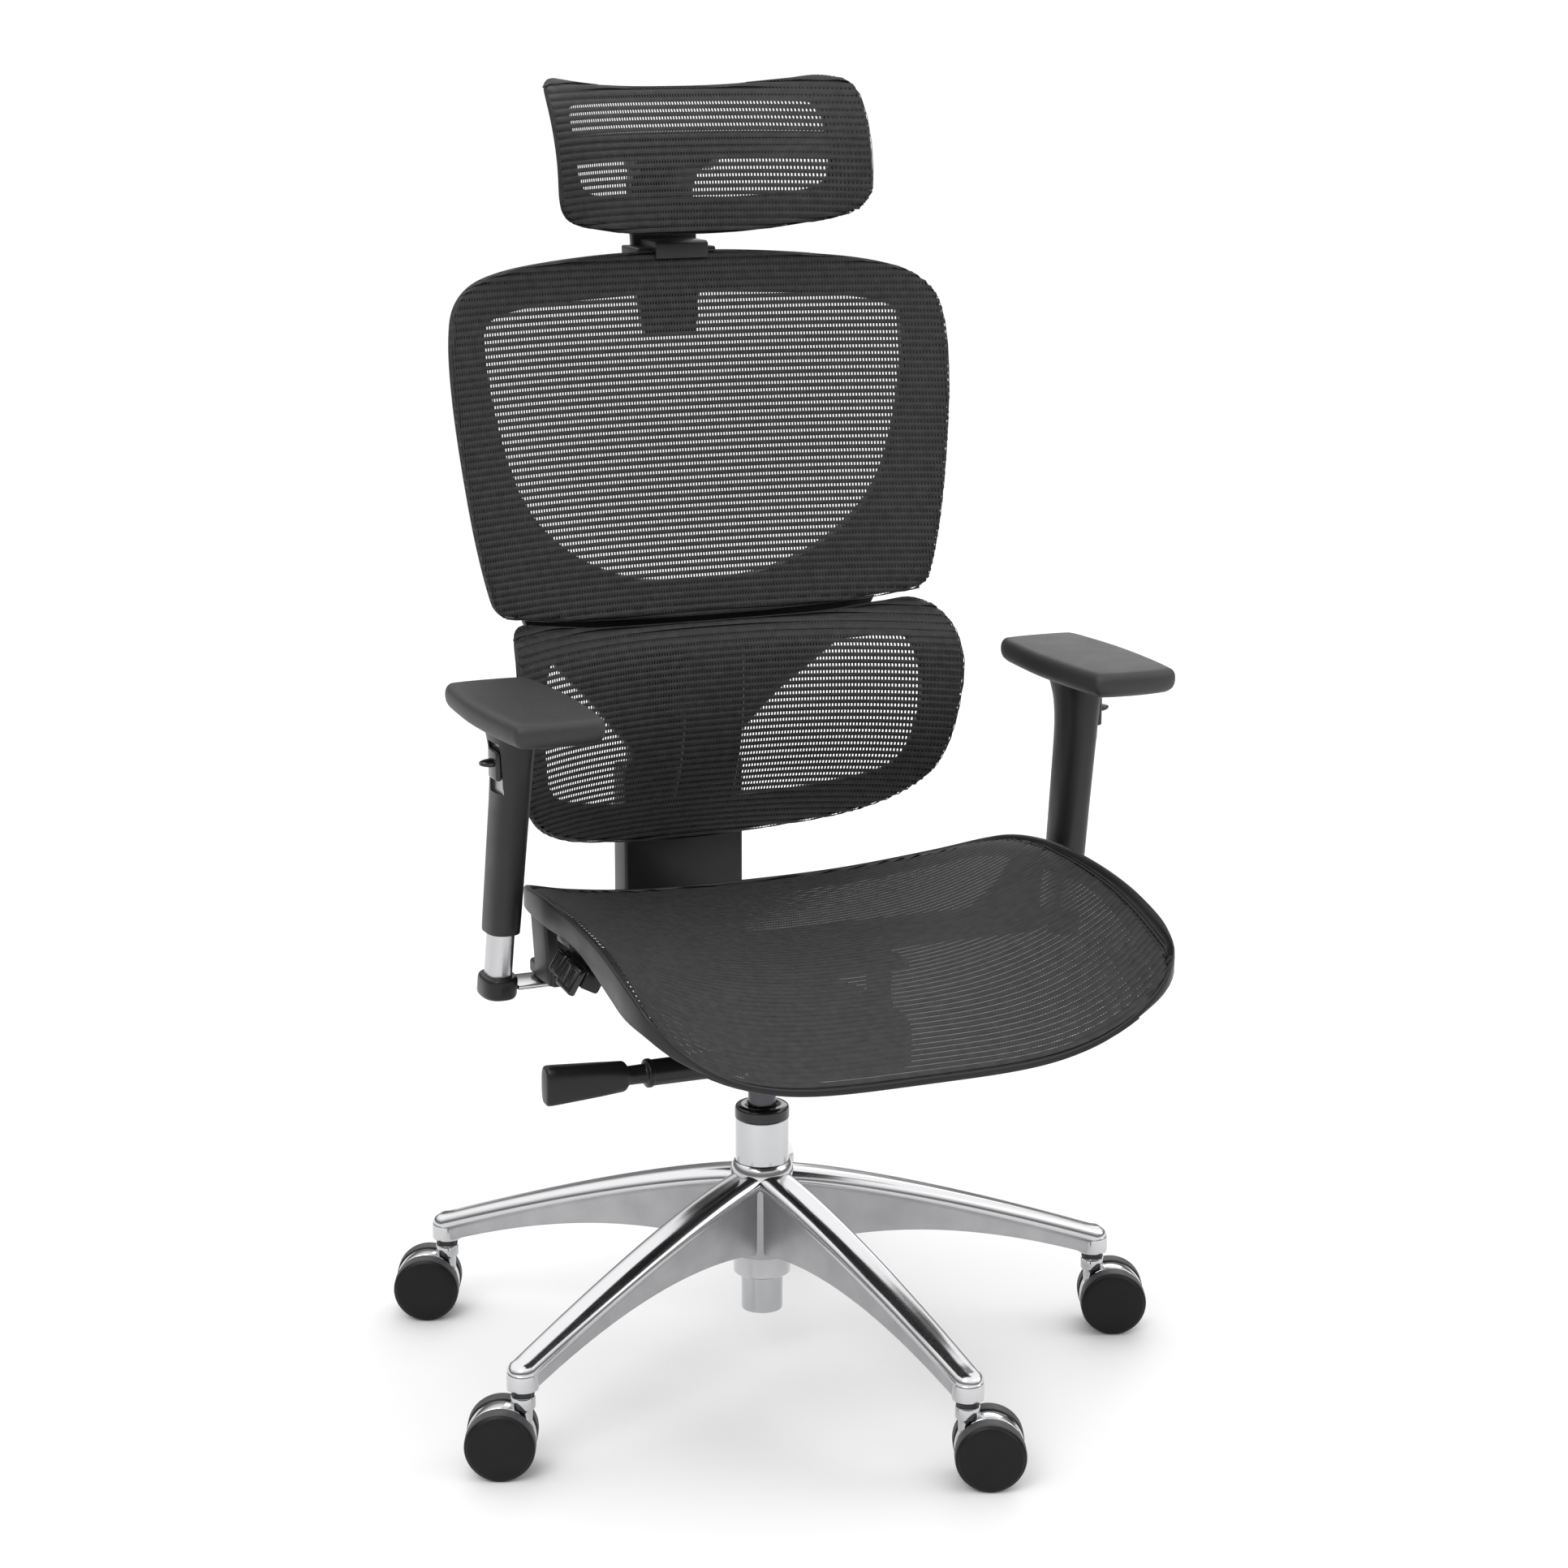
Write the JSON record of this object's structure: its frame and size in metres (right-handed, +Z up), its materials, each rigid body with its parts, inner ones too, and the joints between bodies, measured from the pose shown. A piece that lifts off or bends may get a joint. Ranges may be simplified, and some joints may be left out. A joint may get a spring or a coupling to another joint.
{
  "type": "swivel office chair",
  "caption": "Swivel office chair with mesh seat, two-part mesh back, headrest, height-adjustable arms, gas lift, synchro tilt and a star base on twin-wheel castors.",
  "frame": {"origin": "on the floor, at the centre of the chair's bounding box; the swivel axis stands 16 mm to -X and 21 mm to +Y of it", "axes": "+Z up, -Y the way the sitter faces, +X the sitter's left"},
  "size_m": [0.6986, 0.6636, 1.135],
  "materials": {
    "polished_aluminium": "polished",
    "chrome": "mirror",
    "steel": "plain",
    "painted_steel": "satin black",
    "soft_pu": "fine grained, soft",
    "castor_tyre": "satin",
    "mesh_fabric": "open woven mesh",
    "gloss_black": "glossy",
    "black_nylon": "moulded satin"
  },
  "bodies": {
    "base": {"base_star": "polished_aluminium", "lift_outer_tube": "chrome", "lift_guide_bush": "black_nylon", "lift_thrust_bearing": "steel", "castor_1_stem": "steel", "castor_2_stem": "steel", "castor_3_stem": "steel", "castor_4_stem": "steel", "castor_5_stem": "steel"},
    "swivel_rod": {"lift_piston_rod": "steel"},
    "seat_carriage": {"lift_cylinder": "painted_steel", "mechanism_housing": "painted_steel", "tilt_shaft": "steel", "tilt_spring": "steel"},
    "tension_handle": {"tension_handle": "black_nylon"},
    "seat": {"seat_plate": "painted_steel", "seat_frame": "black_nylon", "seat_mesh": "mesh_fabric", "control_pod": "black_nylon", "arm_left_bracket": "polished_aluminium", "arm_left_post": "polished_aluminium", "arm_right_bracket": "polished_aluminium", "arm_right_post": "polished_aluminium"},
    "paddle_small": {"paddle_small": "gloss_black"},
    "paddle_large": {"paddle_large": "gloss_black"},
    "arm_left": {"arm_left_sleeve": "black_nylon", "arm_left_pad": "soft_pu"},
    "arm_left_trigger": {"arm_left_trigger": "black_nylon"},
    "arm_right": {"arm_right_sleeve": "black_nylon", "arm_right_pad": "soft_pu"},
    "arm_right_trigger": {"arm_right_trigger": "black_nylon"},
    "recliner": {"back_post": "black_nylon"},
    "back": {"back_carrier": "black_nylon", "back_frame": "black_nylon", "back_mesh": "mesh_fabric"},
    "lumbar": {"lumbar_frame": "black_nylon", "lumbar_mesh": "mesh_fabric"},
    "head_slide": {"head_stalk": "black_nylon"},
    "headrest": {"head_frame": "black_nylon", "head_mesh": "mesh_fabric"},
    "castor_1": {"castor_1_hood": "chrome", "castor_1_axle": "steel"},
    "castor_1_wheel_a": {"castor_1_wheel_a": "castor_tyre"},
    "castor_1_wheel_b": {"castor_1_wheel_b": "castor_tyre"},
    "castor_2": {"castor_2_hood": "chrome", "castor_2_axle": "steel"},
    "castor_2_wheel_a": {"castor_2_wheel_a": "castor_tyre"},
    "castor_2_wheel_b": {"castor_2_wheel_b": "castor_tyre"},
    "castor_3": {"castor_3_hood": "chrome", "castor_3_axle": "steel"},
    "castor_3_wheel_a": {"castor_3_wheel_a": "castor_tyre"},
    "castor_3_wheel_b": {"castor_3_wheel_b": "castor_tyre"},
    "castor_4": {"castor_4_hood": "chrome", "castor_4_axle": "steel"},
    "castor_4_wheel_a": {"castor_4_wheel_a": "castor_tyre"},
    "castor_4_wheel_b": {"castor_4_wheel_b": "castor_tyre"},
    "castor_5": {"castor_5_hood": "chrome", "castor_5_axle": "steel"},
    "castor_5_wheel_a": {"castor_5_wheel_a": "castor_tyre"},
    "castor_5_wheel_b": {"castor_5_wheel_b": "castor_tyre"}
  },
  "joints": [
    {"name": "chair_swivel", "type": "hinge", "parent": "base", "child": "swivel_rod", "pos_m": [-0.0164, 0.0213, 0], "axis": [0, 0, 1], "continuous": true},
    {"name": "seat_height", "type": "slide", "parent": "swivel_rod", "child": "seat_carriage", "axis": [0, 0, 1], "range_m": [0, 0.1]},
    {"name": "back_recline", "type": "hinge", "parent": "seat_carriage", "child": "recliner", "pos_m": [-0.0164, 0.0663, 0.332], "axis": [-1, 0, 0], "range_deg": [0, 22], "stiffness_Nm_per_rad": 60, "springref_deg": -28.65},
    {"name": "seat_tilt", "type": "hinge", "parent": "seat_carriage", "child": "seat", "pos_m": [-0.0164, -0.0787, 0.357], "axis": [-1, 0, 0], "range_deg": [0, 8.8]},
    {"name": "back_height", "type": "slide", "parent": "recliner", "child": "back", "axis": [0, 0, 1], "range_m": [0, 0.04]},
    {"name": "lumbar_flex", "type": "slide", "parent": "back", "child": "lumbar", "axis": [0, 1, 0], "range_m": [0, 0.005], "stiffness_N_per_m": 6000, "springref_m": -0.004},
    {"name": "headrest_height", "type": "slide", "parent": "back", "child": "head_slide", "axis": [0, 0.1676, 0.9859], "range_m": [0, 0.05]},
    {"name": "headrest_tilt", "type": "hinge", "parent": "head_slide", "child": "headrest", "pos_m": [-0.0164, 0.2333, 1.06], "axis": [1, 0, 0], "range_deg": [-20, 8]},
    {"name": "arm_left_height", "type": "slide", "parent": "seat", "child": "arm_left", "axis": [-0.0217, -0.1704, 0.9851], "range_m": [-0.035, 0.04]},
    {"name": "arm_left_release", "type": "slide", "parent": "arm_left", "child": "arm_left_trigger", "axis": [-0.0217, -0.1704, 0.9851], "range_m": [0, 0.004], "stiffness_N_per_m": 400, "springref_m": -0.003},
    {"name": "arm_right_height", "type": "slide", "parent": "seat", "child": "arm_right", "axis": [0.0217, -0.1704, 0.9851], "range_m": [-0.035, 0.04]},
    {"name": "arm_right_release", "type": "slide", "parent": "arm_right", "child": "arm_right_trigger", "axis": [0.0217, -0.1704, 0.9851], "range_m": [0, 0.004], "stiffness_N_per_m": 400, "springref_m": -0.003},
    {"name": "paddle_small_pull", "type": "hinge", "parent": "seat", "child": "paddle_small", "pos_m": [-0.24144, -0.10263, 0.43776], "axis": [0, 0.9962, 0.0872], "range_deg": [0, 15]},
    {"name": "paddle_large_pull", "type": "hinge", "parent": "seat", "child": "paddle_large", "pos_m": [-0.24144, -0.13053, 0.43532], "axis": [0, 0.9962, 0.0872], "range_deg": [0, 15], "stiffness_Nm_per_rad": 0.6, "springref_deg": -17.19},
    {"name": "tension_handle_turn", "type": "hinge", "parent": "seat_carriage", "child": "tension_handle", "pos_m": [-0.0164, -0.1417, 0.34], "axis": [1, 0, 0], "range_deg": [-270, 270]},
    {"name": "castor_1_swivel", "type": "hinge", "parent": "base", "child": "castor_1", "pos_m": [0.03667, -0.2892, 0], "axis": [0, 0, 1], "continuous": true},
    {"name": "castor_1_roll_a", "type": "hinge", "parent": "castor_1", "child": "castor_1_wheel_a", "pos_m": [0.0537, -0.29643, 0.03], "axis": [0.3907, 0.9205, 0], "continuous": true},
    {"name": "castor_1_roll_b", "type": "hinge", "parent": "castor_1", "child": "castor_1_wheel_b", "pos_m": [0.0537, -0.29643, 0.03], "axis": [0.3907, 0.9205, 0], "continuous": true},
    {"name": "castor_2_swivel", "type": "hinge", "parent": "base", "child": "castor_2", "pos_m": [0.2953, -0.02417, 0], "axis": [0, 0, 1], "continuous": true},
    {"name": "castor_2_roll_a", "type": "hinge", "parent": "castor_2", "child": "castor_2_wheel_a", "pos_m": [0.31233, -0.0314, 0.03], "axis": [0.3907, 0.9205, 0], "continuous": true},
    {"name": "castor_2_roll_b", "type": "hinge", "parent": "castor_2", "child": "castor_2_wheel_b", "pos_m": [0.31233, -0.0314, 0.03], "axis": [0.3907, 0.9205, 0], "continuous": true},
    {"name": "castor_3_swivel", "type": "hinge", "parent": "base", "child": "castor_3", "pos_m": [0.12317, 0.30369, 0], "axis": [0, 0, 1], "continuous": true},
    {"name": "castor_3_roll_a", "type": "hinge", "parent": "castor_3", "child": "castor_3_wheel_a", "pos_m": [0.1402, 0.29646, 0.03], "axis": [0.3907, 0.9205, 0], "continuous": true},
    {"name": "castor_3_roll_b", "type": "hinge", "parent": "castor_3", "child": "castor_3_wheel_b", "pos_m": [0.1402, 0.29646, 0.03], "axis": [0.3907, 0.9205, 0], "continuous": true},
    {"name": "castor_4_swivel", "type": "hinge", "parent": "base", "child": "castor_4", "pos_m": [-0.24184, 0.2413, 0], "axis": [0, 0, 1], "continuous": true},
    {"name": "castor_4_roll_a", "type": "hinge", "parent": "castor_4", "child": "castor_4_wheel_a", "pos_m": [-0.25887, 0.24853, 0.03], "axis": [-0.3907, -0.9205, 0], "continuous": true},
    {"name": "castor_4_roll_b", "type": "hinge", "parent": "castor_4", "child": "castor_4_wheel_b", "pos_m": [-0.25887, 0.24853, 0.03], "axis": [-0.3907, -0.9205, 0], "continuous": true},
    {"name": "castor_5_swivel", "type": "hinge", "parent": "base", "child": "castor_5", "pos_m": [-0.2953, -0.12513, 0], "axis": [0, 0, 1], "continuous": true},
    {"name": "castor_5_roll_a", "type": "hinge", "parent": "castor_5", "child": "castor_5_wheel_a", "pos_m": [-0.31233, -0.1179, 0.03], "axis": [-0.3907, -0.9205, 0], "continuous": true},
    {"name": "castor_5_roll_b", "type": "hinge", "parent": "castor_5", "child": "castor_5_wheel_b", "pos_m": [-0.31233, -0.1179, 0.03], "axis": [-0.3907, -0.9205, 0], "continuous": true}
  ],
  "couplings": [
    {"joint": "seat_tilt", "follows": "back_recline", "ratio": 0.4}
  ]
}
